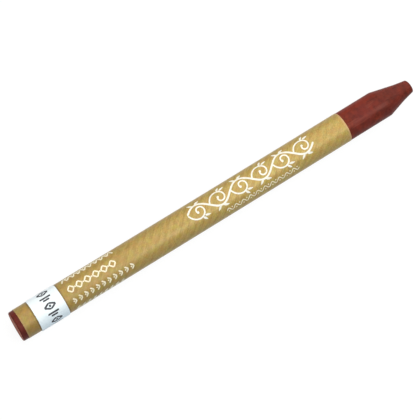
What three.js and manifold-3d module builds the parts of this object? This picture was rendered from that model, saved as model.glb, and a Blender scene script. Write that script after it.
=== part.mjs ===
// A round stick of coloured wax for marking ceramics, in a rolled paper wrapper with an adhesive label.
// Lengths are in millimetres and angles in degrees.
// The crayon lies on its side: X runs along the stick towards the tip, Z is up, and Z = 0 is the table.
// Directions round the stick are counted from straight up, turning towards +Y.

import * as THREE from 'three';
import { mergeVertices } from 'three/addons/utils/BufferGeometryUtils.js';
import Module from 'manifold-3d';

// Wax stick
const CRAYON_LENGTH = 119;
const STICK_DIAMETER = 8;
const REAR_EDGE_RADIUS = 0.35;

// Sharpened tip: a cone that eases to a slimmer, blunt nib. It leans a little to one side of the stick,
// so that its shoulder runs obliquely. Its axis crosses the stick's axis just behind the nib's end.
const SHOULDER_HALF_ANGLE = 14.9;
const NIB_HALF_ANGLE = 11.4;
const NIB_LENGTH = 3.45;
const NIB_END_DIAMETER = 3.45;
const NIB_WEAR = 0.3;
const TIP_LEAN = 1.75;
const TIP_LEAN_DIRECTION = 71.5;
const TIP_LEAN_SETBACK = 2.2;

// Paper wrapper: one sheet, rolled tightly round the stick and pasted down where it laps
const REAR_BARE_WAX = 1.3;
const FRONT_BARE_WAX = 11.75;
const PAPER_THICKNESS = 0.07;
const PAPER_TURNS = 1;
const PAPER_LAP = 4;
const PAPER_LAP_DIRECTION = 90;
const PASTE_FILM = 0.015;

// Adhesive label: tape stuck round the wrapper, near its rear edge
const LABEL_SETBACK = 3.7;
const LABEL_WIDTH = 8.1;
const LABEL_THICKNESS = 0.09;
const LABEL_TURNS = 1;
const LABEL_LAP = 2.9;
const LABEL_LAP_DIRECTION = 208;
const ADHESIVE_FILM = 0.015;

// Roundness: every round surface has flats in the same directions. Their number is made even, so that
// one of them faces straight down.
const FLATS_ROUND = 96;
const REAR_EDGE_STEPS = 4;
const NIB_END_STEPS = 6;

// Spare material that a cutting shape has beyond what it cuts
const CUT_MARGIN = 5;

const { degToRad, euclideanModulo } = THREE.MathUtils;
const FULL_TURN = 360;
const flatsRound = 2 * Math.round(FLATS_ROUND / 2);
const flatAngle = FULL_TURN / flatsRound;
const stickRadius = STICK_DIAMETER / 2;
const nibEndRadius = NIB_END_DIAMETER / 2;
const nibBackRadius = nibEndRadius + NIB_LENGTH * Math.tan(degToRad(NIB_HALF_ANGLE));
const shoulderLength = (stickRadius - nibBackRadius) / Math.tan(degToRad(SHOULDER_HALF_ANGLE));
const leanDirection = degToRad(TIP_LEAN_DIRECTION);
const wrapperRear = REAR_BARE_WAX;
const wrapperFront = CRAYON_LENGTH - NIB_LENGTH - shoulderLength - FRONT_BARE_WAX;

const wasm = await Module();
wasm.setup();

// Turns a closed three.js geometry into a solid that can be cut
function toSolid(geometry) {
  const bare = geometry.clone();
  bare.deleteAttribute('normal');
  bare.deleteAttribute('uv');
  const welded = mergeVertices(bare);
  const index = welded.index.array;
  const triangles = [];
  for (let i = 0; i < index.length; i += 3) {
    const [a, b, c] = index.slice(i, i + 3);
    if (a !== b && b !== c && c !== a) {
      triangles.push(a, b, c);
    }
  }
  const vertProperties = new Float32Array(welded.attributes.position.array);
  return new wasm.Manifold(
    new wasm.Mesh({ numProp: 3, vertProperties, triVerts: new Uint32Array(triangles) }),
  );
}

// Turns a cut solid back into a three.js geometry
function toGeometry(solid) {
  const { vertProperties, triVerts } = solid.getMesh();
  const geometry = new THREE.BufferGeometry();
  geometry.setAttribute('position', new THREE.BufferAttribute(vertProperties, 3));
  geometry.setIndex(new THREE.BufferAttribute(triVerts, 1));
  geometry.computeVertexNormals();
  return geometry;
}

// Revolves a profile of (radius, distance along the stick) points about the stick's axis
function revolve(profile) {
  const geometry = new THREE.LatheGeometry(profile, flatsRound, degToRad(flatAngle / 2));
  geometry.rotateZ(-Math.PI / 2);
  return geometry;
}

// Round bar with a small radius on its rear edge, left long at the front for the tip to be cut from
function stickBlank() {
  const outline = new THREE.Path();
  outline.moveTo(0, 0);
  outline.lineTo(stickRadius - REAR_EDGE_RADIUS, 0);
  outline.absarc(stickRadius - REAR_EDGE_RADIUS, REAR_EDGE_RADIUS, REAR_EDGE_RADIUS, -Math.PI / 2, 0, false);
  outline.lineTo(stickRadius, CRAYON_LENGTH + CUT_MARGIN);
  outline.lineTo(0, CRAYON_LENGTH + CUT_MARGIN);
  return toSolid(revolve(outline.getPoints(REAR_EDGE_STEPS)));
}

// Everything inside the tip's cone, which flares on backwards until it clears the whole stick. The blunt
// end is a shallow dome that runs smoothly into the nib's side.
function tipCone() {
  const shoulderSlope = Math.tan(degToRad(SHOULDER_HALF_ANGLE));
  const nibSlope = Math.tan(degToRad(NIB_HALF_ANGLE));
  const back = CRAYON_LENGTH + CUT_MARGIN;
  const backRadius = nibBackRadius + (back - NIB_LENGTH) * shoulderSlope;
  const outline = new THREE.Path();
  outline.moveTo(0, -back);
  outline.lineTo(backRadius, -back);
  outline.lineTo(nibBackRadius, -NIB_LENGTH);
  outline.lineTo(nibEndRadius + NIB_WEAR * nibSlope, -NIB_WEAR);
  outline.quadraticCurveTo(nibEndRadius, 0, 0, 0);
  const geometry = revolve(outline.getPoints(NIB_END_STEPS));
  const leanAxis = new THREE.Vector3(0, Math.cos(leanDirection), -Math.sin(leanDirection));
  geometry.translate(TIP_LEAN_SETBACK, 0, 0);
  geometry.applyMatrix4(new THREE.Matrix4().makeRotationAxis(leanAxis, -degToRad(TIP_LEAN)));
  geometry.translate(CRAYON_LENGTH - TIP_LEAN_SETBACK, 0, 0);
  return toSolid(geometry);
}

// Winds a sheet on a base, tight at every corner of the round. Each turn lies on the one before, and
// climbs over the sheet's first edge along the last flat before it. Corners are numbered round the stick.
function windSheet({ turns, lap, lapDirection, thickness, film, baseRadius }) {
  const lapFlats = Math.round(lap / (baseRadius(0) * degToRad(flatAngle)));
  const flats = Math.round(turns * flatsRound) + lapFlats;
  const lastCorner = Math.round(lapDirection / flatAngle - 0.5);
  const inner = [];
  const outer = [];
  const outermost = [];
  for (let step = 0; step <= flats; step += 1) {
    const corner = euclideanModulo(lastCorner + flats - step, flatsRound);
    const layersBelow = Math.floor(step / flatsRound);
    const innerRadius = baseRadius(corner) + film + layersBelow * (thickness + film);
    const outerRadius = innerRadius + thickness;
    inner.push(cornerPoint(corner, innerRadius));
    outer.push(cornerPoint(corner, outerRadius));
    outermost[corner] = outerRadius;
  }
  return {
    section: new THREE.Shape([...outer, ...inner.reverse()]),
    outerRadius: (corner) => outermost[corner],
  };
}

// A corner's place in a section drawn with its first axis straight down and its second towards +Y
function cornerPoint(corner, radius) {
  const direction = degToRad((corner + 0.5) * flatAngle);
  return new THREE.Vector2(-radius * Math.cos(direction), radius * Math.sin(direction));
}

// Draws a section out along the stick, from one distance to another
function extrudeAlong(section, from, to) {
  const geometry = new THREE.ExtrudeGeometry(section, { depth: to - from, bevelEnabled: false });
  geometry.rotateY(Math.PI / 2);
  geometry.translate(from, 0, 0);
  return geometry;
}

function waxStick() {
  const geometry = toGeometry(stickBlank().intersect(tipCone()));
  const material = new THREE.MeshStandardMaterial({ color: 0x7d3b30, roughness: 0.5, metalness: 0 });
  return namedMesh('wax_stick', geometry, material);
}

const wrapperRoll = windSheet({
  turns: PAPER_TURNS,
  lap: PAPER_LAP,
  lapDirection: PAPER_LAP_DIRECTION,
  thickness: PAPER_THICKNESS,
  film: PASTE_FILM,
  baseRadius: () => stickRadius,
});

function paperWrapper() {
  const geometry = extrudeAlong(wrapperRoll.section, wrapperRear, wrapperFront);
  const material = new THREE.MeshStandardMaterial({ color: 0xc4a864, roughness: 0.7, metalness: 0 });
  return namedMesh('paper_wrapper', geometry, material);
}

const labelRoll = windSheet({
  turns: LABEL_TURNS,
  lap: LABEL_LAP,
  lapDirection: LABEL_LAP_DIRECTION,
  thickness: LABEL_THICKNESS,
  film: ADHESIVE_FILM,
  baseRadius: wrapperRoll.outerRadius,
});

function shadeLabel() {
  const rear = wrapperRear + LABEL_SETBACK;
  const geometry = extrudeAlong(labelRoll.section, rear, rear + LABEL_WIDTH);
  const material = new THREE.MeshStandardMaterial({ color: 0xf7f9f8, roughness: 0.35, metalness: 0 });
  return namedMesh('shade_label', geometry, material);
}

function namedMesh(name, geometry, material) {
  const mesh = new THREE.Mesh(geometry, material);
  mesh.name = name;
  return mesh;
}

// The label is the widest piece, so the crayon lies on the flat that the label has straight down
const lowestCorner = flatsRound / 2;
const axisHeight = labelRoll.outerRadius(lowestCorner) * Math.cos(degToRad(flatAngle / 2));

const crayon = new THREE.Group();
crayon.add(waxStick(), paperWrapper(), shadeLabel());
crayon.position.set(-CRAYON_LENGTH / 2, 0, axisHeight);

export default crayon;
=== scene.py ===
import math

import bpy
from mathutils import Matrix, Vector

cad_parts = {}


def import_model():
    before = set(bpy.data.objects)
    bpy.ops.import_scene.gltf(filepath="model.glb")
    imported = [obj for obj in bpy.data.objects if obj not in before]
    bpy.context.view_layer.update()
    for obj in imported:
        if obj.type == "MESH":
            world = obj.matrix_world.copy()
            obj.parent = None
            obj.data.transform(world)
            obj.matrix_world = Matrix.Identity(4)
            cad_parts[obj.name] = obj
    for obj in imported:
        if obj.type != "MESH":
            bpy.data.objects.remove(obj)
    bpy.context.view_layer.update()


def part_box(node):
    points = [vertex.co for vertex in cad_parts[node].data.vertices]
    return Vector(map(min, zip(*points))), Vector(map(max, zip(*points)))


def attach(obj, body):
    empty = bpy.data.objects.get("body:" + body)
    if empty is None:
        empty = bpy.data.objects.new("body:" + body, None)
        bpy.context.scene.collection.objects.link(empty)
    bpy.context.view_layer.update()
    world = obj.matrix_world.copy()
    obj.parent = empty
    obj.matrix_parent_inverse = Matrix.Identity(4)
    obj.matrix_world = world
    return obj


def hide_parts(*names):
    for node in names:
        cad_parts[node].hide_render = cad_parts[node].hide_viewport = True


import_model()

# The crayon lies along X with its tip towards +X. Lengths are in millimetres and angles in degrees.
# Directions round the stick are counted from straight up, turning towards +Y. On the unrolled paper, a
# place round the stick is its arc on the wax, counted the same way.
MM = 0.001

# Places and sizes taken from the frame
wax_low, wax_high = (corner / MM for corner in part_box("wax_stick"))
paper_low, paper_high = (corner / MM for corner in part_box("paper_wrapper"))
label_low, label_high = (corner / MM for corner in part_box("shade_label"))
STICK_LENGTH = 119.0
STICK_RADIUS = (wax_high.y - wax_low.y) / 2
AXIS_HEIGHT = wax_low.z + STICK_RADIUS
REAR = wax_low.x
TIP = REAR + STICK_LENGTH

# Wax stick
REAR_EDGE_RADIUS = 0.35
SHOULDER_HALF_ANGLE = 14.9
NIB_HALF_ANGLE = 11.4
NIB_LENGTH = 3.45
NIB_END_RADIUS = 1.77
NIB_WEAR = 0.3
TIP_LEAN = 1.75
TIP_LEAN_DIRECTION = 71.5
TIP_LEAN_SETBACK = 2.2
SHOULDER_BLEND = 0.05

# Small irregularities of the real stick: the tip sits a little to one side, its end is worn askew, and the
# rear face is cut a little long and oblique. REAR_CUT_SLANT is in degrees, NIB_END_SLANT in mm per mm.
TIP_SHIFT = -0.045
NIB_END_SLANT = 0.05
NIB_END_SLANT_REACH = 1.4
REAR_CUT_EXCESS = 0.09
REAR_CUT_SLANT = 2.0

# The stick is bowed a little towards +Y, as the photograph shows, and runs along X at BOW_MIDDLE
BOW_RADIUS = 12900.0
BOW_MIDDLE = 8.0
BOW_SHIFT = -0.013

# Rolled sheets. Each laps between two directions, and climbs from LAP_EASE to LAP_REST before it meets its
# own first edge. Its cut edges waver about a line that is EDGE_MARGIN inside the solid's.
PAPER_THICKNESS = 0.07
PAPER_LAP = (90.0, 146.25)
LABEL_THICKNESS = 0.09
LABEL_LAP = (208.1, 247.5)
FILM = 0.015
LAP_EASE = 5.0
LAP_REST = 1.0
EDGE_MARGIN = 0.04

# A cut edge wavers as a sum of waves: the size of each, how many go round the stick, and how much of the
# edge's own phase it takes. The phases are those of a sheet's rear and front edges.
EDGE_WAVES = ((0.03, 1, 1.0), (0.016, 3, 2.1), (0.008, 7, -1.0))
REAR_EDGE_PHASE = 0.4
FRONT_EDGE_PHASE = 2.3

# The paper's printed weave: the hatch's pitch, its angle to the stick, and where its lines lie and how far
# they waver, in radians, with a full turn from line to line. The weave's colour is a share between the
# paper's dark and light ones. It starts from WEAVE_MIDDLE, and the hatch and the streaks each carry it so
# far to either side.
HATCH_PITCH = 1.728
HATCH_ANGLE = 46.0
HATCH_PHASE = math.radians(132.0)
HATCH_WAVER = 0.8
HATCH_STRENGTH = 0.34
STREAK_STRENGTH = 0.28
WEAVE_MIDDLE = 0.475

# Where the paper changes along the stick. A pair says where a change starts and where it is full: the hatch
# calms towards the front, painted shade darkens the paper towards its rear edge, and painted shade lies on
# its lower side at the rear.
HATCH_CALMS = (22.0, 31.0)
PAINTED_SHADE_TO_REAR = (10.0, paper_low.x)
LOWER_SHADE_ALONG = (-46.0, -50.0)

# Where the paper is darkened round the stick: paste with a painted shadow along the lap's edge, and the
# middle of the painted shade on the lower side
LAP_PASTE_AND_SHADOW_PLACE = math.radians(PAPER_LAP[0]) * STICK_RADIUS - 0.1
LOWER_SHADE_PLACE = -5.0

# How far the painted shadow along the label lies from it
LABEL_SHADOW_GAP = 0.12

# Where the wax changes across the stick and along it, in metres as the shader reads them. A pair says where
# a change starts and where it is full.
# Painted light: the wax is made lighter and redder on its +Y side.
WAX_PAINTED_LIGHT_ACROSS = (1.1 * MM, 1.9 * MM)
# Painted shade: the wax darkens towards its rear end.
WAX_PAINTED_SHADE_TO_REAR = (-50.0 * MM, -57.0 * MM)
NIB_DARKENS = (46.5 * MM, 51.0 * MM)
NIB_LIGHTENS = (52.5 * MM, 55.5 * MM)

# The painted highlight streak on the bare wax, up to the tip's shoulder, in metres: its middle across the
# stick and how far it fades to either side of it, where it grows stronger and where it ends along the
# stick, and the heights between which it comes to show
HIGHLIGHT_STREAK_MIDDLE = -1.9 * MM
HIGHLIGHT_STREAK_FADES = (0.1 * MM, 0.7 * MM)
HIGHLIGHT_STREAK_GROWS = (46.2 * MM, 48.5 * MM)
HIGHLIGHT_STREAK_ENDS = (50.3 * MM, 52.1 * MM)
HIGHLIGHT_STREAK_SHOWS = (5.0 * MM, 6.0 * MM)

# Printing. Strokes differ a little in height, in turn, so that those that cross share no face. At its ends
# a stroke keeps a least width, as a share of its own or in millimetres.
INK_HEIGHT = 0.012
INK_HEIGHT_STEP = 0.03
INK_HEIGHT_COUNT = 5
STROKE_COLUMNS = 6
STRAIGHT_STEP = 0.12
PEN_END_SHARE = math.sqrt(0.02)
LEAF_END_WIDTH = 0.04
DOT_END_WIDTH = 0.03
LEAF_STEPS = 14
DOT_STEPS = 12

# The running scroll on the middle of the wrapper: where it starts along the stick and its direction, and
# its stem
VINE_START = -9.4
VINE_DIRECTION = -3.0
VINE_LENGTH = 38.2
VINE_WAVES = 3
VINE_HEIGHT = 1.85
STEM_WIDTH = 0.5
STEM_END_GAP = 0.3
STEM_STEPS = 260

# The scroll's tendrils: each starts in one direction and turns by an angle, while its radius shrinks to
# near the inner one. It stops at a share of that turn, in a bud.
TENDRIL_WIDTH = 0.4
TENDRIL_BUD = 0.65
TENDRIL_SHIFT = 0.3
TENDRIL_FROM = -185
TENDRIL_TURN = 470
TENDRIL_INNER_RADIUS = 0.45
TENDRIL_SHRINKS_BY = 2.75
TENDRIL_SHRINKING = 3.2
TENDRIL_STOP = 0.86
TENDRIL_STEPS = 60

# The wavy line below the scroll
WAVE_LINE_START = 0.4
WAVE_LINE_DIRECTION = -61.0
WAVE_LINE_PITCH = 2.19
WAVE_LINE_WAVES = 10
WAVE_LINE_HEIGHT = 0.5
WAVE_LINE_WIDTH = 0.26
WAVE_LINE_STEPS = 300

# The rows of motifs near the label: where all start along the stick, and each row's direction, pitch and
# number of motifs
ROWS_START = -44.6
ROW_PEN = 0.42
ZIGZAG_DIRECTION = 44.0
ZIGZAG_PITCH = 1.64
ZIGZAG_COUNT = 9
DIAMOND_DIRECTION = -4.0
DIAMOND_PITCH = 2.4
DIAMOND_COUNT = 6
CHEVRON_DIRECTION = -48.5
CHEVRON_PITCH = 1.66
CHEVRON_COUNT = 11
LEAF_DIRECTION = -92.5
LEAF_PITCH = 1.6
LEAF_COUNT = 9

# The border of marks on the label
LABEL_MARK_CENTRE = -50.1
LABEL_MARK_DIRECTION = -17.0
LABEL_MARK_LENGTH = 3.1
LABEL_MARK_PITCH = 2.15
LABEL_MARKS_EACH_WAY = 3
LABEL_MARK_PEN = 0.46

# How finely the stick and the sheets are divided: round the stick, and in rings along each stretch of it.
# The rings of the bare wax reach UNDER_PAPER under the wrapper. The rear edge's first rings have the skin
# of the moulded stick, and what follows is the cut face, whose rings are shares of its radius.
AROUND = 240
NIB_END_RINGS = 18
NIB_RINGS = 24
SHOULDER_RINGS = 70
BARE_FRONT_RINGS = 40
WRAPPED_RINGS = 30
BARE_REAR_RINGS = 14
REAR_EDGE_RINGS = 10
REAR_EDGE_SKIN_RINGS = 6
REAR_FACE_RINGS = (0.75, 0.5, 0.25, 0.08)
UNDER_PAPER = 1.0
WRAPPER_RINGS = 60
LABEL_RINGS = 16

# The tip's first ring, as a share of its blunt end's curve, how far its cone runs on past where it clears
# the bar, and the gap between its last ring and the bar's first
TIP_FIRST_RING = 0.04
SHOULDER_SPARE = 2.0
BAR_GAP = 0.3

# Table top: the colour that it throws light back with, the brightness that it is seen with, and the part
# of that brightness that takes shade
FLOOR_COLOUR = (0.31, 0.39, 0.47, 1.0)
FLOOR_WHITE = 1.03
FLOOR_SHADE = 0.1
FLOOR_HALF_SIZE = 3.0

# Light: a large soft lamp nearly overhead, a small weak one in front, a weak one low behind the rear end,
# and a little light from all round. Places and sizes are in metres, powers in watts.
AMBIENT = (0.8, 0.93, 1.0, 1.0)
AMBIENT_STRENGTH = 0.035
KEY_SIZE = 1.1
KEY_PLACE = (0.32, 0.11, 0.54)
KEY_POWER = 7.25
KEY_TINT = (1.0, 0.985, 0.955)
FILL_SIZE = 0.3
FILL_PLACE = (0.12, -0.4, 0.5)
FILL_POWER = 1.5
FILL_TINT = (0.9, 0.96, 1.0)
BACK_SIZE = 0.4
BACK_PLACE = (-0.6, 0.05, 0.2)
BACK_POWER = 1.2
BACK_TINT = (1.0, 0.985, 0.955)

# Camera, as the photograph's perspective gives it. The clip distance is in metres.
CAMERA_PLACE = (-97.067, -142.935, 429.675)
CAMERA_ELEVATION = 68.1
CAMERA_AZIMUTH = -33.5
CAMERA_LENS = 155.94
CAMERA_SENSOR = 36
CAMERA_CLIP_START = 0.01


def colour(red, green, blue):
    """A colour written as sRGB numbers from 0 to 255, as the shader takes it."""
    def linear(value):
        value = value / 255
        return value / 12.92 if value <= 0.04045 else ((value + 0.055) / 1.055) ** 2.4
    return (linear(red), linear(green), linear(blue), 1.0)


# Colours of the wax
WAX_DARK = colour(86, 32, 21)
WAX_LIGHT = colour(121, 44, 27)
WAX_CLOUD = colour(106, 40, 36)
WAX_RUBBED = colour(146, 80, 66)
# Painted light on the +Y side of the wax
WAX_PAINTED_LIGHT_SIDE = colour(140, 48, 31)
# Painted highlight streak before the tip
WAX_PAINTED_HIGHLIGHT = colour(150, 84, 72)
WAX_NIB = colour(76, 27, 19)
# Painted shade towards the rear of the wax
REAR_WAX_PAINTED_SHADE = colour(82, 33, 30)
# Painted light: the cut face is coloured pale for the light on the rear edge's rim; its crumbs and scores
# are its own.
CUT_WAX_PAINTED_LIT_DARK = colour(178, 114, 96)
CUT_WAX_PAINTED_LIT_PALE = colour(196, 134, 116)
CUT_WAX_SCORE = colour(156, 88, 72)

# Colours of the paper
KRAFT_DARK = colour(162, 134, 64)
KRAFT_LIGHT = colour(198, 171, 98)
KRAFT_DARK_LINE = colour(146, 114, 58)
KRAFT_PALE_LINE = colour(216, 190, 114)
KRAFT_FRONT = colour(172, 126, 42)
KRAFT_TAN_TINT = colour(196, 142, 84)
KRAFT_GREEN_TINT = colour(172, 160, 78)
KRAFT_DARK_SPECK = colour(150, 120, 62)
KRAFT_PALE_SPECK = colour(212, 186, 116)
KRAFT_FIBRE = colour(146, 116, 62)
# Painted shade: the paper darkens towards its rear edge.
KRAFT_REAR_PAINTED_SHADE = colour(146, 115, 58)
KRAFT_TAN_PATCH = colour(189, 139, 77)
KRAFT_GREEN_PATCH = colour(174, 166, 83)
KRAFT_YELLOW_PATCH = colour(186, 158, 56)
KRAFT_PALE_PATCH = colour(176, 148, 98)
# Paste with a painted shadow along the lap's edge
KRAFT_PASTE_AND_PAINTED_SHADOW = colour(122, 98, 54)
# Painted shade on the lower side of the paper at the rear
KRAFT_LOWER_PAINTED_SHADE = colour(114, 84, 42)
# Painted shadow beside the label
KRAFT_LABEL_PAINTED_SHADOW = colour(84, 66, 36)
KRAFT_WORN_EDGE = colour(206, 162, 124)
PAPER_CORE_DARK = colour(194, 156, 114)
PAPER_CORE_LIGHT = colour(210, 178, 138)

# Colours of the label and the inks. The label's faint blue glow is painted light: an emission that lifts
# its shaded side, whatever the lamps do.
TAPE_DARK = colour(242, 248, 250)
TAPE_LIGHT = colour(247, 252, 252)
LABEL_PAINTED_GLOW = (0.01, 0.035, 0.05, 1.0)
WHITE_INK = (colour(236, 232, 213), colour(248, 244, 230))
CREAM_INK = (colour(232, 220, 184), colour(250, 240, 210))
DARK_INK = (colour(26, 27, 36), colour(42, 43, 52))


# Places and meshes

def bowed(x, across, up):
    """The place in metres that a point along, across and above the stick's axis has once it is bowed."""
    bow = (x - BOW_MIDDLE) ** 2 / (2 * BOW_RADIUS) + BOW_SHIFT
    return Vector((x, across + bow, AXIS_HEIGHT + up)) * MM


def on_round(x, radius, direction):
    """The place of a point that is at x along the stick and at a radius and direction from its axis."""
    turn = math.radians(direction)
    return bowed(x, radius * math.sin(turn), radius * math.cos(turn))


def smooth_step(t):
    t = min(max(t, 0.0), 1.0)
    return t * t * (3 - 2 * t)


def steps(start, end, count):
    """count + 1 evenly spaced values from start to end."""
    return [start + (end - start) * i / count for i in range(count + 1)]


def add_piece(name, vertices, faces, materials, uvs=None, sharp=40.0, replaced=None):
    """Makes a mesh piece that rides on the root body. Each face is given as (corners, material number)."""
    mesh = bpy.data.meshes.new(name)
    mesh.from_pydata(vertices, [], [corners for corners, _ in faces])
    mesh.polygons.foreach_set("material_index", [number for _, number in faces])
    mesh.polygons.foreach_set("use_smooth", [True] * len(faces))
    if uvs:
        layer = mesh.uv_layers.new(name="unrolled")
        for loop in mesh.loops:
            layer.data[loop.index].uv = uvs[loop.vertex_index]
    for material in materials:
        mesh.materials.append(material)
    mesh.set_sharp_from_angle(angle=math.radians(sharp))
    mesh.validate()
    piece = bpy.data.objects.new(name, mesh)
    bpy.context.scene.collection.objects.link(piece)
    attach(piece, "root")
    if replaced:
        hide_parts(replaced)


# Materials

class Nodes:
    """A small helper that builds a material's nodes from left to right."""

    def __init__(self, name):
        self.material = bpy.data.materials.new(name)
        self.material.use_nodes = True
        self.tree = self.material.node_tree
        self.shader = self.tree.nodes["Principled BSDF"]

    def add(self, kind, settings=None, **inputs):
        node = self.tree.nodes.new(kind)
        for key, value in (settings or {}).items():
            setattr(node, key, value)
        for key, value in inputs.items():
            self.feed(node, key, value)
        return node

    def feed(self, node, key, value):
        """Links an output to an input, or sets the input where the value is a number or a colour."""
        socket = node.inputs[key]
        if isinstance(value, bpy.types.NodeSocket):
            self.tree.links.new(value, socket)
        else:
            socket.default_value = value

    def feed_all(self, node, values):
        """Feeds a node's inputs in their order."""
        for number, value in enumerate(values):
            self.feed(node, number, value)

    def shade(self, base, roughness, **plain):
        """Gives the shader its colour and roughness, and sets what is the same all over the surface."""
        self.feed(self.shader, "Base Color", base)
        self.feed(self.shader, "Roughness", roughness)
        for key, value in plain.items():
            self.shader.inputs[key.replace("_", " ")].default_value = value

    def maths(self, operation, a, b=0.5, c=0.5):
        node = self.add("ShaderNodeMath", {"operation": operation})
        self.feed_all(node, (a, b, c))
        return node.outputs[0]

    def away(self, value, middle):
        """How far a value is from a middle one."""
        return self.maths("ABSOLUTE", self.maths("SUBTRACT", value, middle))

    def spread(self, value, low, high, to_low=0.0, to_high=1.0):
        """Stretches the range low to high of a value to another range, and holds it there."""
        node = self.add("ShaderNodeMapRange")
        self.feed_all(node, (value, low, high, to_low, to_high))
        return node.outputs[0]

    def blend(self, share, a, b):
        """Mixes a share of colour b into colour a."""
        node = self.add("ShaderNodeMix", {"data_type": "RGBA"})
        share_input, a_input, b_input, colour_output = 0, 6, 7, 2
        self.feed(node, share_input, share)
        self.feed(node, a_input, a)
        self.feed(node, b_input, b)
        return node.outputs[colour_output]

    def tinge(self, base, value, span, share, tint):
        """Mixes in a tint as a value crosses a span: none at its first number, the share at its second."""
        return self.blend(self.spread(value, *span, 0.0, share), base, tint)

    def noise(self, where, scale, detail=2.0, roughness=0.5):
        node = self.add("ShaderNodeTexNoise", Vector=where, Scale=scale, Detail=detail, Roughness=roughness)
        return node.outputs["Fac"]

    def mapped(self, where, **settings):
        """Stretches or turns a texture's places."""
        return self.add("ShaderNodeMapping", Vector=where, **settings).outputs["Vector"]

    def axes(self, where):
        return self.add("ShaderNodeSeparateXYZ", Vector=where).outputs

    def object_place(self):
        return self.add("ShaderNodeTexCoord").outputs["Object"]

    def bump(self, height, distance):
        node = self.add("ShaderNodeBump", Height=height, Distance=distance, Strength=1.0)
        self.feed(self.shader, "Normal", node.outputs["Normal"])


def wax_material():
    """Iron-red pigmented wax: mottled, with a waxy sheen, fine pits and rub marks along the stick; painted
    light on its +Y side, a painted highlight streak before the tip and painted shade towards the rear.
    """
    n = Nodes("iron_red_wax")
    where = n.object_place()
    mottle = n.noise(where, 620.0, 4.0, 0.65)
    cloud = n.noise(where, 190.0, 2.0)
    rubs = n.noise(n.mapped(where, Scale=(90.0, 700.0, 700.0)), 1.0, 3.0, 0.65)
    grain = n.noise(where, 3200.0, 3.0, 0.6)
    place, side, height = n.axes(where)
    base = n.blend(n.spread(mottle, 0.36, 0.64), WAX_DARK, WAX_LIGHT)
    base = n.tinge(base, cloud, (0.42, 0.66), 0.5, WAX_CLOUD)
    base = n.tinge(base, rubs, (0.6, 0.74), 0.4, WAX_RUBBED)
    # Painted light: a lighter, redder +Y side
    base = n.tinge(base, side, WAX_PAINTED_LIGHT_ACROSS, 0.45, WAX_PAINTED_LIGHT_SIDE)
    # Painted highlight: a pale streak before the tip
    base = n.blend(painted_highlight_streak(n, place, side, height, rubs), base, WAX_PAINTED_HIGHLIGHT)
    nib = n.maths("MULTIPLY", n.spread(place, *NIB_DARKENS), n.spread(place, *NIB_LIGHTENS, 0.4, 0.15))
    base = n.blend(nib, base, WAX_NIB)
    # Painted shade: darker towards the rear
    base = n.tinge(base, place, WAX_PAINTED_SHADE_TO_REAR, 0.62, REAR_WAX_PAINTED_SHADE)
    n.shade(
        base, n.spread(rubs, 0.3, 0.7, 0.4, 0.52), Specular_IOR_Level=0.1, Metallic=0.1,
        Subsurface_Weight=0.06, Subsurface_Radius=(0.6, 0.2, 0.12), Subsurface_Scale=0.8 * MM,
    )
    relief = n.maths("ADD", n.maths("MULTIPLY", mottle, 0.6), n.maths("MULTIPLY", grain, 0.25))
    n.bump(n.maths("ADD", relief, n.maths("MULTIPLY", rubs, 0.35)), 0.06 * MM)
    return n.material


def painted_highlight_streak(n, place, side, height, rubs):
    """How much shows of the pale painted highlight streak on the bare wax, up to the tip's shoulder."""
    mark = n.spread(n.away(side, HIGHLIGHT_STREAK_MIDDLE), *HIGHLIGHT_STREAK_FADES, 0.24, 0.0)
    for strength in (
        n.spread(place, *HIGHLIGHT_STREAK_ENDS, 1.0, 0.0),
        n.spread(place, *HIGHLIGHT_STREAK_GROWS, 0.75, 1.9),
        n.spread(height, *HIGHLIGHT_STREAK_SHOWS),
        n.spread(rubs, 0.4, 0.6, 0.4, 1.0),
    ):
        mark = n.maths("MULTIPLY", mark, strength)
    return mark


def cut_wax_material():
    """The rear face, where the stick was cut off: dry and dull, with small crumbs, coloured pale as painted
    light on its rim.
    """
    n = Nodes("cut_wax_face")
    where = n.object_place()
    crumbs = n.noise(where, 1500.0, 4.0, 0.7)
    scores = n.noise(n.mapped(where, Scale=(900.0, 1200.0, 160.0)), 1.0, 2.0, 0.6)
    # Painted light: the face is coloured pale for its lit rim
    base = n.blend(n.spread(crumbs, 0.35, 0.65), CUT_WAX_PAINTED_LIT_DARK, CUT_WAX_PAINTED_LIT_PALE)
    base = n.tinge(base, scores, (0.5, 0.7), 0.3, CUT_WAX_SCORE)
    n.shade(base, n.spread(crumbs, 0.3, 0.7, 0.85, 0.95), Specular_IOR_Level=0.05)
    n.bump(n.maths("ADD", crumbs, n.maths("MULTIPLY", scores, 0.5)), 0.004 * MM)
    return n.material


def kraft_material():
    """Golden kraft paper with printed slanting streaks, laid out on the unrolled sheet in millimetres."""
    n = Nodes("golden_kraft_paper")
    sheet = n.add("ShaderNodeUVMap", {"uv_map": "unrolled"}).outputs["UV"]
    place, round_place, _ = n.axes(sheet)
    fibres = n.noise(sheet, 6.0, 4.0, 0.7)
    base, streaks = kraft_weave(n, sheet, place)
    base = kraft_mottling(n, sheet, place, fibres, base)
    base = kraft_stains(n, place, round_place, base)
    n.shade(base, n.spread(fibres, 0.3, 0.7, 0.32, 0.4), Specular_IOR_Level=0.25, Metallic=0.08)
    relief = n.maths("ADD", n.maths("MULTIPLY", fibres, 0.5), n.maths("MULTIPLY", streaks, 0.3))
    n.bump(relief, 0.03 * MM)
    return n.material


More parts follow.
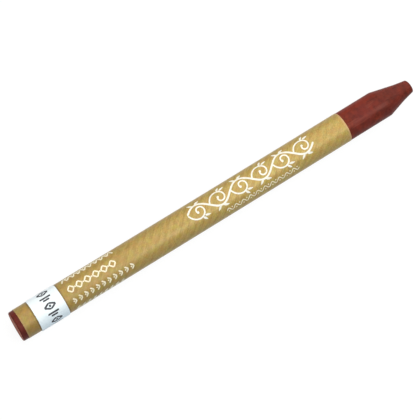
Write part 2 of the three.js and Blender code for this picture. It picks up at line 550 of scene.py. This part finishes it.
def kraft_weave(n, sheet, place):
    """The paper's colour with the printed hatch, streaks and fine lines, all slanting the same way, and the
    streaks by themselves."""
    slant = n.mapped(sheet, Rotation=(0.0, 0.0, -math.radians(HATCH_ANGLE)))
    streaks = n.noise(n.mapped(slant, Scale=(0.5, 1.9, 1.0)), 1.0, 3.0, 0.6)
    lines = n.noise(n.mapped(slant, Scale=(0.5, 3.0, 1.0)), 1.0, 2.0, 0.6)
    waver = n.maths("MULTIPLY_ADD", n.noise(sheet, 0.4, 2.0), HATCH_WAVER, HATCH_PHASE - HATCH_WAVER / 2)
    phase = n.maths("MULTIPLY_ADD", n.axes(slant)["Y"], 2 * math.pi / HATCH_PITCH, waver)
    drift = n.spread(streaks, 0.34, 0.66, -STREAK_STRENGTH, STREAK_STRENGTH)
    weave = n.maths("MULTIPLY_ADD", n.maths("SINE", phase), HATCH_STRENGTH, drift)
    bold = n.spread(place, *HATCH_CALMS, 1.0, 0.66)
    base = n.blend(n.maths("MULTIPLY_ADD", weave, bold, WEAVE_MIDDLE), KRAFT_DARK, KRAFT_LIGHT)
    for high, share, tint in ((0.68, 0.6, KRAFT_DARK_LINE), (0.34, 0.5, KRAFT_PALE_LINE)):
        strength = n.maths("MULTIPLY", n.spread(lines, 0.5, high, 0.0, share), bold)
        base = n.blend(strength, base, tint)
    return n.tinge(base, place, HATCH_CALMS, 0.15, KRAFT_FRONT), streaks


def kraft_mottling(n, sheet, place, fibres, base):
    """Adds tints, specks, fibres and patches, each from its own noise, and painted shade towards the rear
    edge.
    """
    tints = n.noise(sheet, 1.7, 3.0, 0.7)
    specks = n.noise(sheet, 2.6, 3.0, 0.7)
    patches = n.noise(sheet, 0.6, 2.0, 0.6)
    hues = n.noise(sheet, 0.85, 2.0, 0.6)
    for value, span, share, tint in (
        (tints, (0.52, 0.64), 0.5, KRAFT_TAN_TINT),
        (tints, (0.48, 0.36), 0.45, KRAFT_GREEN_TINT),
        (specks, (0.5, 0.66), 0.6, KRAFT_DARK_SPECK),
        (specks, (0.46, 0.34), 0.5, KRAFT_PALE_SPECK),
        (fibres, (0.3, 0.8), 0.18, KRAFT_FIBRE),
        # Painted shade: darker towards the rear edge
        (place, PAINTED_SHADE_TO_REAR, 0.72, KRAFT_REAR_PAINTED_SHADE),
        (patches, (0.5, 0.64), 0.31, KRAFT_TAN_PATCH),
        (patches, (0.5, 0.36), 0.31, KRAFT_GREEN_PATCH),
        (hues, (0.5, 0.64), 0.24, KRAFT_YELLOW_PATCH),
        (hues, (0.5, 0.36), 0.24, KRAFT_PALE_PATCH),
    ):
        base = n.tinge(base, value, span, share, tint)
    return base


def kraft_stains(n, place, round_place, base):
    """Adds paste with a painted shadow along the lap, painted shade on the lower side at the rear, painted
    shadow beside the label, and wear along the cut edges.
    """
    # Paste with a painted shadow along the lap's edge
    base = n.tinge(base, n.away(round_place, LAP_PASTE_AND_SHADOW_PLACE), (0.4, 0.05), 0.5, KRAFT_PASTE_AND_PAINTED_SHADOW)
    # Painted shade on the lower side near the rear
    lower_shade = n.spread(n.away(round_place, LOWER_SHADE_PLACE), 1.5, 3.0, 0.26, 0.0)
    lower_shade = n.maths("MULTIPLY", lower_shade, n.spread(place, *LOWER_SHADE_ALONG))
    base = n.blend(lower_shade, base, KRAFT_LOWER_PAINTED_SHADE)
    # Painted shadow along both edges of the label
    for edge in (label_low.x - LABEL_SHADOW_GAP, label_high.x + LABEL_SHADOW_GAP):
        base = n.tinge(base, n.away(place, edge), (0.34, 0.1), 0.55, KRAFT_LABEL_PAINTED_SHADOW)
    for edge, share in ((paper_low.x + EDGE_MARGIN, 0.15), (paper_high.x - EDGE_MARGIN, 0.42)):
        base = n.tinge(base, n.away(place, edge), (0.55, 0.2), share, KRAFT_WORN_EDGE)
    return base


def paper_core_material():
    """The lighter cut edge of the kraft paper."""
    n = Nodes("kraft_paper_core")
    fibres = n.noise(n.object_place(), 4000.0, 3.0, 0.7)
    base = n.blend(n.spread(fibres, 0.3, 0.7), PAPER_CORE_DARK, PAPER_CORE_LIGHT)
    n.shade(base, n.spread(fibres, 0.3, 0.7, 0.8, 0.92))
    n.bump(fibres, 0.02 * MM)
    return n.material


def tape_material():
    """White coated label tape with a satin face and a faint painted blue glow."""
    n = Nodes("white_label_tape")
    where = n.object_place()
    cloud = n.noise(where, 300.0, 2.0)
    grain = n.noise(where, 2600.0, 3.0, 0.6)
    base = n.blend(n.spread(cloud, 0.35, 0.65), TAPE_DARK, TAPE_LIGHT)
    n.shade(
        base, n.spread(grain, 0.3, 0.7, 0.34, 0.42), Specular_IOR_Level=0.35,
        Coat_Weight=0.15, Coat_Roughness=0.25, Coat_IOR=1.6,
        # Painted light: a faint blue glow that lifts the shaded side
        Emission_Color=LABEL_PAINTED_GLOW, Emission_Strength=1.0,
    )
    n.bump(grain, 0.008 * MM)
    return n.material


def ink_material(name, colours):
    """Printing ink that lets a little of the paper's grain through."""
    n = Nodes(name)
    where = n.object_place()
    grain = n.noise(where, 3000.0, 3.0, 0.65)
    cover = n.noise(where, 900.0, 2.0)
    n.shade(n.blend(n.spread(cover, 0.3, 0.6), *colours), n.spread(grain, 0.3, 0.7, 0.45, 0.55))
    n.bump(grain, 0.01 * MM)
    return n.material


# Wax stick

def tip_profile():
    """(distance behind the tip's end, radius) of the tip's own round, from the end's middle backwards."""
    nib_slope = math.tan(math.radians(NIB_HALF_ANGLE))
    shoulder_slope = math.tan(math.radians(SHOULDER_HALF_ANGLE))
    side_radius = NIB_END_RADIUS + NIB_WEAR * nib_slope
    nib_back_radius = NIB_END_RADIUS + NIB_LENGTH * nib_slope
    profile = []
    for t in steps(TIP_FIRST_RING, 1.0, NIB_END_RINGS):
        across = 2 * t * (1 - t) * NIB_END_RADIUS + t * t * side_radius
        profile.append((t * t * NIB_WEAR, across))
    for back in steps(NIB_WEAR, NIB_LENGTH, NIB_RINGS)[1:]:
        profile.append((back, NIB_END_RADIUS + back * nib_slope))
    reach = NIB_LENGTH + 2 * (STICK_RADIUS - nib_back_radius) / shoulder_slope + SHOULDER_SPARE
    for back in steps(NIB_LENGTH, reach, SHOULDER_RINGS)[1:]:
        profile.append((back, nib_back_radius + (back - NIB_LENGTH) * shoulder_slope))
    return profile


def soft_minimum(a, b, blend):
    near = max(blend - abs(a - b), 0.0) / blend
    return min(a, b) - near * near * blend / 4


def ring(place, distance, radius):
    """A ring of points round the stick. place gives a point from a distance, a radius and a direction."""
    return [place(distance, radius, 360 * i / AROUND) for i in range(AROUND)]


def tip_rings(profile):
    """The tip's pole and rings. Its own round is leaned, and is cut off where it passes the bar's."""
    lean_direction = math.radians(TIP_LEAN_DIRECTION)
    lean_axis = Vector((0, math.cos(lean_direction), -math.sin(lean_direction)))
    lean = Matrix.Rotation(-math.radians(TIP_LEAN), 3, lean_axis)
    pivot = Vector((TIP - TIP_LEAN_SETBACK, 0, 0))
    shift = Vector((0, TIP_SHIFT, 0))

    def tip_place(back, radius, direction):
        turn = math.radians(direction)
        across = radius * math.sin(turn)
        worn = NIB_END_SLANT * across * (1 - smooth_step(back / NIB_END_SLANT_REACH))
        place = lean @ Vector((TIP_LEAN_SETBACK - back - worn, across, radius * math.cos(turn)))
        place += pivot + shift
        out = math.hypot(place.y, place.z)
        kept = soft_minimum(out, STICK_RADIUS, SHOULDER_BLEND)
        if out > 0:
            place.y *= kept / out
            place.z *= kept / out
        return bowed(place.x, place.y, place.z)

    rings = [ring(tip_place, back, radius) for back, radius in profile]
    return tip_place(0, 0, 0), rings


def rear_place(x, radius, direction):
    """A point of the rear end, where the oblique cut strays along the stick."""
    across = radius * math.sin(math.radians(direction))
    cut = math.tan(math.radians(REAR_CUT_SLANT)) * across - REAR_CUT_EXCESS
    return on_round(x + cut, radius, direction)


def rear_rings():
    """The rings of the rounded rear edge and of the face inside it, and the face's pole."""
    face_radius = STICK_RADIUS - REAR_EDGE_RADIUS
    rings = []
    for angle in steps(0, 90, REAR_EDGE_RINGS)[1:]:
        turn = math.radians(angle)
        x = REAR + REAR_EDGE_RADIUS * (1 - math.sin(turn))
        rings.append(ring(rear_place, x, face_radius + REAR_EDGE_RADIUS * math.cos(turn)))
    for share in REAR_FACE_RINGS:
        rings.append(ring(rear_place, REAR, face_radius * share))
    return rings, rear_place(REAR, 0, 0)


def wax_stick():
    """The stick, as rings from the tip's end to the rear face."""
    profile = tip_profile()
    tip_pole, rings = tip_rings(profile)
    bar_start = TIP - profile[-1][0] - BAR_GAP
    paper_start = paper_high.x - UNDER_PAPER
    paper_end = paper_low.x + UNDER_PAPER
    bar = steps(bar_start, paper_start, BARE_FRONT_RINGS)
    bar += steps(paper_start, paper_end, WRAPPED_RINGS)[1:]
    bar += steps(paper_end, REAR + REAR_EDGE_RADIUS, BARE_REAR_RINGS)[1:]
    rings += [ring(on_round, x, STICK_RADIUS) for x in bar]
    face_start = len(rings) + REAR_EDGE_SKIN_RINGS
    end_rings, rear_pole = rear_rings()
    vertices, faces = ring_skin(rings + end_rings, tip_pole, rear_pole, face_start)
    materials = [wax_material(), cut_wax_material()]
    add_piece("wax_stick_dressed", vertices, faces, materials, sharp=60, replaced="wax_stick")


def ring_skin(rings, first_pole, last_pole, face_start):
    """Joins rings of points into one closed skin with a pole at each end. From ring face_start on, it has
    the second material."""
    vertices = [first_pole] + [place for points in rings for place in points] + [last_pole]
    last = len(vertices) - 1
    faces = []
    for i in range(AROUND):
        j = (i + 1) % AROUND
        faces.append(((0, 1 + j, 1 + i), 0))
        for number in range(len(rings) - 1):
            a = 1 + number * AROUND
            b = a + AROUND
            faces.append(((a + i, a + j, b + j, b + i), 1 if number >= face_start else 0))
        end = last - AROUND
        faces.append(((end + i, end + j, last), 1))
    return vertices, faces


# Rolled paper wrapper and label

def lap_height(direction, lap):
    """1 over a lap, easing down to 0 within a few degrees on either side of it."""
    middle = (lap[0] + lap[1]) / 2
    half = (lap[1] - lap[0]) / 2
    away = abs((direction - middle + 180) % 360 - 180) - half
    return 1 - smooth_step(away / LAP_EASE)


def stick_radius(direction):
    """The radius of the wax, which is the same in every direction, as a sheet wound on it meets it."""
    return STICK_RADIUS


def wrapper_radius(direction):
    """The radius that the wrapper's outer face has, as a sheet wound over it meets it."""
    layer = FILM + PAPER_THICKNESS
    return STICK_RADIUS + layer * (1 + lap_height(direction, PAPER_LAP))


def edge_waver(direction, edge_phase):
    """How far a hand-cut edge strays along the stick."""
    turn = math.radians(direction)
    return sum(size * math.sin(waves * turn + share * edge_phase) for size, waves, share in EDGE_WAVES)


def wound_section(lap, thickness, base_radius):
    """The (direction, inner radius) points of a sheet wound once round its base, lapping over its own first
    edge. It is wound from the lap's high direction downwards."""
    section = []
    for i in range(AROUND + round(AROUND * (lap[1] - lap[0]) / 360) + 1):
        wound = 360 * i / AROUND
        direction = lap[1] - wound
        climb = smooth_step((wound - (360 - LAP_EASE)) / (LAP_EASE - LAP_REST))
        section.append((direction, base_radius(direction) + FILM + climb * (thickness + FILM)))
    return section


def sheet_faces(count, rings):
    """The faces of a rolled sheet, whose rings have count outer points and then count inner ones. Its cut
    edges have the second material."""
    faces = []
    for number in range(rings):
        a = number * 2 * count
        b = a + 2 * count
        for i in range(count - 1):
            faces.append(((a + i, a + i + 1, b + i + 1, b + i), 0))
            faces.append(((a + count + i, b + count + i, b + count + i + 1, a + count + i + 1), 0))
        for i in (0, count - 1):
            edge = (a + i, b + i, b + count + i, a + count + i)
            faces.append((edge if i == 0 else edge[::-1], 1))
    for number, flip in ((0, True), (rings, False)):
        a = number * 2 * count
        for i in range(count - 1):
            edge = (a + i, a + i + 1, a + count + i + 1, a + count + i)
            faces.append((edge[::-1] if flip else edge, 1))
    return faces


def rolled_sheet(name, low, high, lap, thickness, base_radius, rings, materials, replaced):
    """A rolled sheet from low to high along the stick, with its places on the unrolled sheet as its UVs."""
    section = wound_section(lap, thickness, base_radius)
    vertices, uvs = [], []
    for number, x in enumerate(steps(low.x + EDGE_MARGIN, high.x - EDGE_MARGIN, rings)):
        share = number / rings
        for lift in (thickness, 0.0):
            for direction, radius in section:
                rear_stray = edge_waver(direction, REAR_EDGE_PHASE)
                front_stray = edge_waver(direction, FRONT_EDGE_PHASE)
                place = x + (1 - share) * rear_stray + share * front_stray
                vertices.append(on_round(place, radius + lift, direction))
                uvs.append((place, math.radians(direction) * STICK_RADIUS))
    add_piece(name, vertices, sheet_faces(len(section), rings), materials, uvs, replaced=replaced)


# Printing: thin closed pads of ink that follow the round

def pad_faces(first, rings, columns):
    """The faces of a pad, whose rings start at vertex first and have columns + 1 points above and below."""
    low = columns + 1
    faces = []
    for i in range(rings - 1):
        a = first + i * 2 * low
        b = a + 2 * low
        for c in range(columns):
            faces.append(((a + c, b + c, b + c + 1, a + c + 1), 0))
            faces.append(((a + low + c, a + low + c + 1, b + low + c + 1, b + low + c), 0))
        faces.append(((a, a + low, b + low, b), 0))
        faces.append(((a + columns, b + columns, b + low + columns, a + low + columns), 0))
    for number, flip in ((0, False), (rings - 1, True)):
        a = first + number * 2 * low
        for c in range(columns):
            cap = (a + c, a + c + 1, a + low + c + 1, a + low + c)
            faces.append((cap[::-1] if flip else cap, 0))
    return faces


class Print:
    """Collects strokes drawn on the unrolled sheet, as places u along the stick and arcs v round it, and
    lays them on a round surface as one mesh of closed pads."""

    def __init__(self, surface_radius, start, direction):
        self.surface_radius = surface_radius
        self.start = start
        self.direction = direction
        self.vertices = []
        self.faces = []
        self.stroke_count = 0

    def place(self, u, v, height):
        direction = self.direction + math.degrees(v / self.surface_radius)
        return on_round(self.start + u, self.surface_radius + height, direction)

    def stroke(self, line, widths):
        """A stroke along a line of (u, v) points, with a full width at each of them."""
        self.faces += pad_faces(len(self.vertices), len(line), STROKE_COLUMNS)
        top = INK_HEIGHT * (1 + INK_HEIGHT_STEP * (self.stroke_count % INK_HEIGHT_COUNT))
        self.stroke_count += 1
        for i, ((u, v), width) in enumerate(zip(line, widths)):
            before, after = line[max(i - 1, 0)], line[min(i + 1, len(line) - 1)]
            along = Vector((after[0] - before[0], after[1] - before[1])).normalized()
            for height in (top, -top / 2):
                for column in range(STROKE_COLUMNS + 1):
                    off = width * (column / STROKE_COLUMNS - 0.5)
                    self.vertices.append(self.place(u - along.y * off, v + along.x * off, height))

    def pen(self, line, width):
        """A stroke of even width with rounded ends."""
        travelled = [0.0]
        for (u0, v0), (u1, v1) in zip(line, line[1:]):
            travelled.append(travelled[-1] + math.hypot(u1 - u0, v1 - v0))
        widths = []
        for s in travelled:
            short = min(min(s, travelled[-1] - s) / (width / 2), 1)
            widths.append(width * math.sqrt(max(1 - (1 - short) ** 2, PEN_END_SHARE ** 2)))
        self.stroke(line, widths)

    def leaf(self, u, v, angle, length, width, bend=0.0):
        """A pointed leaf that grows from (u, v) at an angle, and may bend to one side."""
        turn = math.radians(angle)
        line, widths = [], []
        for t in steps(0, 1, LEAF_STEPS):
            side = bend * length * t * t
            line.append((
                u + length * t * math.cos(turn) - side * math.sin(turn),
                v + length * t * math.sin(turn) + side * math.cos(turn),
            ))
            full = width * math.sin(math.pi * t ** 0.85) ** 0.8 if 0 < t < 1 else 0.0
            widths.append(max(full, LEAF_END_WIDTH))
        self.stroke(line, widths)

    def dot(self, u, v, diameter):
        line, widths = [], []
        for angle in steps(-math.pi / 2, math.pi / 2, DOT_STEPS):
            line.append((u + diameter / 2 * math.sin(angle), v))
            widths.append(max(diameter * math.cos(angle), DOT_END_WIDTH))
        self.stroke(line, widths)

    def straight(self, u0, v0, u1, v1, width):
        count = max(8, round(math.hypot(u1 - u0, v1 - v0) / STRAIGHT_STEP))
        self.pen([(u0 + (u1 - u0) * t, v0 + (v1 - v0) * t) for t in steps(0, 1, count)], width)

    def outline(self, corners, width):
        """A closed outline of straight strokes."""
        for (u0, v0), (u1, v1) in zip(corners, corners[1:] + corners[:1]):
            self.straight(u0, v0, u1, v1, width)

    def finish(self, name, material):
        add_piece(name, self.vertices, self.faces, [material], sharp=50)


def tendril(crest, side):
    """A curl in a hollow of the scroll, as points from its start at the stem to its middle."""
    curl = []
    for t in steps(0, TENDRIL_STOP, TENDRIL_STEPS):
        turn = math.radians(TENDRIL_FROM + TENDRIL_TURN * t)
        reach = TENDRIL_INNER_RADIUS + TENDRIL_SHRINKS_BY * math.exp(-TENDRIL_SHRINKING * t)
        curl.append((crest + TENDRIL_SHIFT + reach * math.cos(turn), side * reach * math.sin(turn)))
    return curl


def vine_print(surface, material):
    """A running scroll: a waving stem with a curled tendril in each hollow and a few leaves."""
    vine = Print(surface, VINE_START, VINE_DIRECTION)
    wave = VINE_LENGTH / VINE_WAVES

    def stem(u):
        return (u, VINE_HEIGHT * math.sin(2 * math.pi * u / wave))

    vine.pen([stem(u) for u in steps(STEM_END_GAP, VINE_LENGTH - STEM_END_GAP, STEM_STEPS)], STEM_WIDTH)
    for half in range(2 * VINE_WAVES):
        side = 1 if half % 2 == 0 else -1
        crest = wave / 4 + half * wave / 2
        curl = tendril(crest, side)
        vine.pen(curl, TENDRIL_WIDTH)
        vine.dot(*curl[-1], TENDRIL_BUD)
        u, v = curl[len(curl) // 4]
        vine.leaf(u - 0.1, v - side * 0.1, -side * 62, 1.45, 0.6, side * 0.2)
        vine.leaf(u + 0.5, v, -side * 22, 1.6, 0.56, side * 0.15)
        u, v = stem(crest - 0.5)
        vine.leaf(u, v + side * 0.15, side * 152, 1.5, 0.56, -side * 0.15)
        vine.leaf(u + 0.6, v + side * 0.2, side * 30, 1.6, 0.6, -side * 0.15)
    vine.finish("vine_print", material)


def wave_line(surface, material):
    """A small wavy line with dots in its hollows, below the scroll."""
    row = Print(surface, WAVE_LINE_START, WAVE_LINE_DIRECTION)
    length = WAVE_LINE_WAVES * WAVE_LINE_PITCH
    line = []
    for u in steps(0, length, WAVE_LINE_STEPS):
        line.append((u, WAVE_LINE_HEIGHT * math.sin(2 * math.pi * u / WAVE_LINE_PITCH)))
    row.pen(line, WAVE_LINE_WIDTH)
    for number in range(2 * WAVE_LINE_WAVES):
        side = -1 if number % 2 == 0 else 1
        row.dot((number + 0.5) * WAVE_LINE_PITCH / 2, side * 0.42, 0.36)
    row.finish("wave_line_print", material)


def zigzag_row(surface, material):
    row = Print(surface, ROWS_START, ZIGZAG_DIRECTION)
    half, rise = ZIGZAG_PITCH / 2, 0.78
    for number in range(ZIGZAG_COUNT):
        u = number * ZIGZAG_PITCH
        row.straight(u, -rise, u + half, rise, ROW_PEN)
        row.straight(u + half, rise, u + ZIGZAG_PITCH, -rise, ROW_PEN)
    for number in range(1, ZIGZAG_COUNT):
        row.dot(number * ZIGZAG_PITCH, 0.55, 0.5)
    row.finish("zigzag_row_print", material)


def diamond_row(surface, material):
    row = Print(surface, ROWS_START, DIAMOND_DIRECTION)
    first, half, rise = 1.05, 0.9, 0.94
    for number in range(DIAMOND_COUNT):
        u = first + number * DIAMOND_PITCH
        row.outline([(u - half, 0), (u, rise), (u + half, 0), (u, -rise)], 0.38)
        if number < DIAMOND_COUNT - 1:
            row.dot(u + DIAMOND_PITCH / 2, 0.0, 0.44)
    row.finish("diamond_row_print", material)


def chevron_row(surface, material):
    row = Print(surface, ROWS_START, CHEVRON_DIRECTION)
    first, point, rise = 0.2, 0.8, 0.82
    for number in range(CHEVRON_COUNT):
        u = first + number * CHEVRON_PITCH
        row.straight(u, rise, u + point, 0.0, ROW_PEN)
        row.straight(u + point, 0.0, u, -rise, ROW_PEN)
        row.dot(u + 0.02, 0.0, 0.42)
    row.finish("chevron_row_print", material)


def leaf_row(surface, material):
    row = Print(surface, ROWS_START, LEAF_DIRECTION)
    first, stem_length, stem_width = 0.3, 14.2, 0.3
    for number in range(LEAF_COUNT):
        u = first + number * LEAF_PITCH
        for side in (1, -1):
            row.leaf(u, side * 0.1, side * 40, 1.2, 0.56)
    row.straight(0.0, 0.0, stem_length, 0.0, stem_width)
    row.finish("leaf_row_print", material)


def label_marks(surface, material):
    """Dark geometric border marks round the label: lozenges, with pairs of bars between them."""
    marks = Print(surface, LABEL_MARK_CENTRE, LABEL_MARK_DIRECTION)
    half, rise = LABEL_MARK_LENGTH / 2, 0.8
    short = half * 0.6
    for number in range(-LABEL_MARKS_EACH_WAY, LABEL_MARKS_EACH_WAY + 1):
        v = number * LABEL_MARK_PITCH
        if number % 2 == 0:
            marks.outline([(-half, v), (0, v + rise), (half, v), (0, v - rise)], LABEL_MARK_PEN)
            marks.dot(0, v, 0.6)
        else:
            marks.straight(-half, v + 0.32, half, v + 0.32, LABEL_MARK_PEN)
            marks.straight(-short, v - 0.36, short, v - 0.36, LABEL_MARK_PEN)
    marks.finish("label_marks", material)


# Stage, light and camera

def light_path_share(tree):
    """1 for rays from the camera and those that reflections and transmission send out, 0 for the rest."""
    rays = tree.nodes.new("ShaderNodeLightPath")
    share = rays.outputs["Is Camera Ray"]
    for kind in ("Is Glossy Ray", "Is Transmission Ray"):
        either = tree.nodes.new("ShaderNodeMath")
        either.operation = "MAXIMUM"
        tree.links.new(share, either.inputs[0])
        tree.links.new(rays.outputs[kind], either.inputs[1])
        share = either.outputs[0]
    return share


def show_instead(tree, lighting, seen, surface):
    """Joins the shader that lights the scene and the one that is seen in its place, at an output."""
    mix = tree.nodes.new("ShaderNodeMixShader")
    tree.links.new(light_path_share(tree), mix.inputs[0])
    tree.links.new(lighting.outputs[0], mix.inputs[1])
    tree.links.new(seen.outputs[0], mix.inputs[2])
    tree.links.new(mix.outputs[0], surface)


def floor_material():
    """The camera and reflections see plain white, still with a little of the crayon's shadow."""
    material = bpy.data.materials.new("white_floor")
    material.use_nodes = True
    tree = material.node_tree
    tree.nodes.remove(tree.nodes["Principled BSDF"])
    lighting = tree.nodes.new("ShaderNodeBsdfDiffuse")
    lighting.inputs["Color"].default_value = FLOOR_COLOUR
    shade = tree.nodes.new("ShaderNodeBsdfDiffuse")
    shade.inputs["Color"].default_value = (FLOOR_SHADE, FLOOR_SHADE, FLOOR_SHADE, 1)
    glow = tree.nodes.new("ShaderNodeEmission")
    glow.inputs["Strength"].default_value = FLOOR_WHITE - FLOOR_SHADE
    seen = tree.nodes.new("ShaderNodeAddShader")
    tree.links.new(shade.outputs[0], seen.inputs[0])
    tree.links.new(glow.outputs[0], seen.inputs[1])
    show_instead(tree, lighting, seen, tree.nodes["Material Output"].inputs["Surface"])
    return material


def floor():
    """A pale table top."""
    mesh = bpy.data.meshes.new("floor")
    half = FLOOR_HALF_SIZE
    corners = [(-half, -half, 0), (half, -half, 0), (half, half, 0), (-half, half, 0)]
    mesh.from_pydata(corners, [], [(0, 1, 2, 3)])
    mesh.materials.append(floor_material())
    table = bpy.data.objects.new("floor", mesh)
    bpy.context.scene.collection.objects.link(table)


def world():
    """Even pale light from all round. The camera and reflections see plain white."""
    surroundings = bpy.data.worlds.new("studio")
    bpy.context.scene.world = surroundings
    surroundings.use_nodes = True
    tree = surroundings.node_tree
    lighting = tree.nodes["Background"]
    lighting.inputs["Color"].default_value = AMBIENT
    lighting.inputs["Strength"].default_value = AMBIENT_STRENGTH
    seen = tree.nodes.new("ShaderNodeBackground")
    seen.inputs["Color"].default_value = (1.0, 1.0, 1.0, 1.0)
    seen.inputs["Strength"].default_value = 1.0
    show_instead(tree, lighting, seen, tree.nodes["World Output"].inputs["Surface"])


def soft_box(name, size, power, place, tint):
    """A square lamp that faces the crayon. Its place is in metres."""
    lamp = bpy.data.lights.new(name, "AREA")
    lamp.shape = "SQUARE"
    lamp.size = size
    lamp.energy = power
    lamp.color = tint
    box = bpy.data.objects.new(name, lamp)
    box.location = place
    box.rotation_euler = Vector(place).to_track_quat("Z", "Y").to_euler()
    bpy.context.scene.collection.objects.link(box)


def camera():
    """The camera that the photograph was taken with, from its perspective."""
    data = bpy.data.cameras.new("camera")
    data.lens = CAMERA_LENS
    data.sensor_width = CAMERA_SENSOR
    data.clip_start = CAMERA_CLIP_START
    view = bpy.data.objects.new("camera", data)
    view.location = Vector(CAMERA_PLACE) * MM
    view.rotation_euler = (math.radians(90 - CAMERA_ELEVATION), 0, math.radians(CAMERA_AZIMUTH))
    bpy.context.scene.collection.objects.link(view)
    bpy.context.scene.camera = view


# The crayon and its printing

def sheets():
    """The wrapper and the label."""
    kraft = kraft_material()
    core = paper_core_material()
    tape = tape_material()
    rolled_sheet(
        "paper_wrapper_dressed", paper_low, paper_high, PAPER_LAP, PAPER_THICKNESS, stick_radius,
        WRAPPER_RINGS, [kraft, core], "paper_wrapper",
    )
    rolled_sheet(
        "shade_label_dressed", label_low, label_high, LABEL_LAP, LABEL_THICKNESS, wrapper_radius,
        LABEL_RINGS, [tape, tape], "shade_label",
    )


def printing():
    white_ink = ink_material("white_ink", WHITE_INK)
    cream_ink = ink_material("cream_ink", CREAM_INK)
    dark_ink = ink_material("dark_ink", DARK_INK)
    paper_face = STICK_RADIUS + FILM + PAPER_THICKNESS
    label_face = paper_face + FILM + LABEL_THICKNESS
    vine_print(paper_face, white_ink)
    for row in (wave_line, zigzag_row, diamond_row, chevron_row, leaf_row):
        row(paper_face, cream_ink)
    label_marks(label_face, dark_ink)


wax_stick()
sheets()
printing()
floor()
world()
soft_box("key_box", KEY_SIZE, KEY_POWER, KEY_PLACE, KEY_TINT)
soft_box("fill_box", FILL_SIZE, FILL_POWER, FILL_PLACE, FILL_TINT)
soft_box("back_box", BACK_SIZE, BACK_POWER, BACK_PLACE, BACK_TINT)
camera()
bpy.context.scene.view_settings.view_transform = "Standard"
